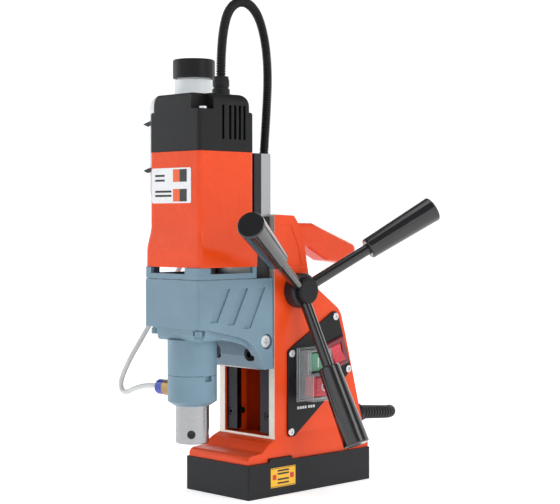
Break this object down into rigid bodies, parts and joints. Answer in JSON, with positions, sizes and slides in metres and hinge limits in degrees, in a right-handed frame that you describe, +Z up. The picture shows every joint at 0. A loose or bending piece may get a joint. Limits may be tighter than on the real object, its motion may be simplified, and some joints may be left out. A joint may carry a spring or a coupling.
{
  "type": "magnetic drill press",
  "caption": "Portable drill press on an electromagnet foot, with a rack-fed motor head, a three-arm feed handle, a coolant bottle and a switch panel.",
  "frame": {"origin": "centre of the magnet's bottom face", "axes": "+Z up, drill head towards -Y, feed handle and switch panel on +X"},
  "size_m": [0.2682, 0.3446, 0.4838],
  "materials": {
    "orange_paint": "satin powder coat",
    "blue_grey_paint": "satin cast paint",
    "black_paint": "satin black",
    "magnet_black": "satin black",
    "orange_plastic": "satin moulded",
    "black_plastic": "fine grain",
    "gloss_black": "polished",
    "machined_steel": "ground",
    "polished_steel": "polished",
    "black_steel": "black oxide, oiled",
    "screw_steel": "zinc plated",
    "black_screw": "black oxide",
    "brass": "turned",
    "copper": "enamelled winding",
    "resin": "cast",
    "clear_cover": "clear",
    "green_plastic": "moulded",
    "red_plastic": "moulded",
    "bottle_plastic": "translucent",
    "hose_plastic": "translucent",
    "blue_plastic": "moulded",
    "black_rubber": "matt",
    "yellow_label": "printed film",
    "white_label": "printed film",
    "board_green": "solder mask",
    "laminated_steel": "stacked sheets"
  },
  "bodies": {
    "frame": {"magnet_base": "magnet_black", "magnet_coil": "copper", "coil_potting": "resin", "frame_casting": "orange_paint", "rear_cover": "orange_paint", "cover_screws": "screw_steel", "carry_handle": "orange_plastic", "guide_rails": "black_steel", "frame_screws": "black_screw", "gib_screws": "screw_steel", "pinion_bushes": "brass", "control_panel": "black_plastic", "panel_screws": "screw_steel", "switch_box": "black_plastic", "switch_shroud": "clear_cover", "rocker_housing": "red_plastic", "circuit_board": "board_green", "base_label": "yellow_label", "frame_glands": "black_plastic", "strain_relief": "black_rubber", "mains_cord": "black_rubber", "cord_coil": "black_rubber", "plug_body": "black_rubber", "plug_pins": "screw_steel"},
    "head": {"slide_plate": "machined_steel", "rack": "machined_steel", "head_bracket": "black_paint", "gearbox_housing": "blue_grey_paint", "head_screws": "screw_steel", "nose_collar": "blue_grey_paint", "motor_housing": "orange_plastic", "motor_cap": "black_plastic", "stator": "laminated_steel", "bearings": "machined_steel", "gear_plate": "machined_steel", "cap_gland": "black_plastic", "coolant_bottle": "bottle_plastic", "bottle_bracket": "black_paint", "coolant_hose": "hose_plastic", "hose_fitting": "brass", "fitting_ring": "blue_plastic", "motor_label": "white_label", "conduit": "black_plastic"},
    "feed_handle": {"pinion_shaft": "machined_steel", "feed_hub": "black_paint", "hub_knob": "black_plastic", "arm_rods": "gloss_black", "arm_grips": "gloss_black"},
    "armature": {"armature_shaft": "machined_steel", "rotor_core": "laminated_steel", "cooling_fan": "black_plastic"},
    "countershaft": {"countershaft": "machined_steel"},
    "spindle": {"arbor": "polished_steel", "arbor_screws": "black_screw", "spindle_gear": "machined_steel"},
    "filler_cap": {"bottle_cap": "black_plastic"},
    "start_button": {"green_button": "green_plastic"},
    "stop_button": {"red_button": "red_plastic"},
    "magnet_switch": {"magnet_rocker": "red_plastic"}
  },
  "joints": [
    {"name": "head_slide", "type": "slide", "parent": "frame", "child": "head", "axis": [0, 0, 1], "range_m": [-0.042, 0.07], "deforming": ["conduit"]},
    {"name": "feed_turn", "type": "hinge", "parent": "frame", "child": "feed_handle", "pos_m": [0, -0.016, 0.1976], "axis": [1, 0, 0], "range_deg": [-270, 165]},
    {"name": "armature_spin", "type": "hinge", "parent": "head", "child": "armature", "pos_m": [0, -0.105, 0.3], "axis": [0, 0, 1], "continuous": true},
    {"name": "countershaft_spin", "type": "hinge", "parent": "head", "child": "countershaft", "pos_m": [0.01743, -0.1005, 0.19], "axis": [0, 0, 1], "continuous": true},
    {"name": "spindle_spin", "type": "hinge", "parent": "head", "child": "spindle", "pos_m": [0, -0.117, 0.1], "axis": [0, 0, 1], "continuous": true},
    {"name": "filler_cap_turn", "type": "hinge", "parent": "head", "child": "filler_cap", "pos_m": [-0.0712, -0.0523, 0.41], "axis": [0, 0, 1], "range_deg": [0, 300]},
    {"name": "start_press", "type": "slide", "parent": "frame", "child": "start_button", "axis": [-1, 0, 0], "range_m": [0, 0.0025], "stiffness_N_per_m": 400},
    {"name": "stop_press", "type": "slide", "parent": "frame", "child": "stop_button", "axis": [-1, 0, 0], "range_m": [0, 0.003], "stiffness_N_per_m": 400},
    {"name": "magnet_switch_rock", "type": "hinge", "parent": "frame", "child": "magnet_switch", "pos_m": [0.0395, 0.039, 0.1322], "axis": [0, 0.9563, 0.2924], "range_deg": [-16, 0]}
  ],
  "couplings": [
    {"joint": "feed_turn", "follows": "head_slide", "rad_per_m": -66.667},
    {"joint": "countershaft_spin", "follows": "armature_spin", "ratio": -0.33333},
    {"joint": "spindle_spin", "follows": "armature_spin", "ratio": 0.13725}
  ]
}
